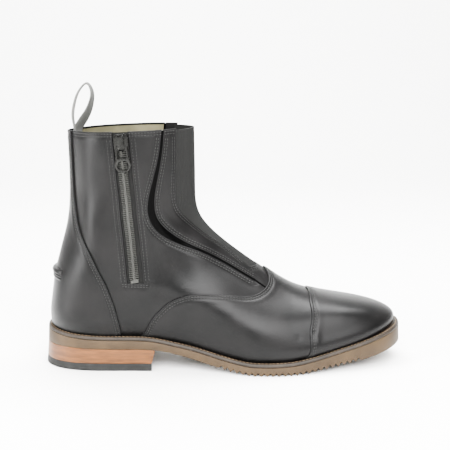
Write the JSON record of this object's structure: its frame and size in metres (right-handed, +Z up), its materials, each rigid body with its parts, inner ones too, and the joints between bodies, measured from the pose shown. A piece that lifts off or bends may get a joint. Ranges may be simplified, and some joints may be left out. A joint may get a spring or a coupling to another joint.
{
  "type": "paddock boot",
  "caption": "Right ankle-high riding boot with a side zip, elastic front, toe cap, spur rest, pull loop, stacked heel and saw-toothed rubber sole.",
  "frame": {"origin": "middle of the heel's resting face, on the floor", "axes": "+X towards the toe, +Y towards the foot's inner side, +Z up; the zip is on the -Y side"},
  "size_m": [0.2923, 0.0987, 0.2271],
  "materials": {
    "top_lift": "matt black rubber",
    "heel_stack": "tan stacked leather, satin",
    "outsole": "matt tan rubber",
    "welt": "grey-brown leather, satin",
    "insole": "beige lining",
    "upper": "smooth black leather, half gloss",
    "vamp": "smooth black leather, half gloss",
    "toe_cap": "smooth black leather, half gloss",
    "back_panel": "smooth black leather, half gloss",
    "spur_rest": "smooth black leather, half gloss",
    "elastic_gore": "ribbed black elastic",
    "patent_strip_outer": "black patent leather, high gloss",
    "patent_strip_inner": "black patent leather, high gloss",
    "zip_tape": "woven black tape",
    "zip_chain": "dark metal",
    "zip_slider": "dark metal",
    "zip_pull": "dark metal",
    "pull_loop": "grey woven tape"
  },
  "bodies": {
    "boot": {"top_lift": "top_lift", "heel_stack": "heel_stack", "outsole": "outsole", "welt": "welt", "insole": "insole", "upper": "upper", "vamp": "vamp", "toe_cap": "toe_cap", "back_panel": "back_panel", "spur_rest": "spur_rest", "elastic_gore": "elastic_gore", "patent_strip_outer": "patent_strip_outer", "patent_strip_inner": "patent_strip_inner", "zip_tape": "zip_tape", "zip_chain": "zip_chain", "zip_slider": "zip_slider", "pull_loop": "pull_loop"},
    "pull_tab": {"zip_pull": "zip_pull"}
  },
  "joints": [
    {"name": "zip_pull_hinge", "type": "hinge", "parent": "boot", "child": "pull_tab", "pos_m": [0.02312, -0.04054, 0.18019], "axis": [-0.9966, 0, -0.0819], "range_deg": [0, 150]}
  ]
}
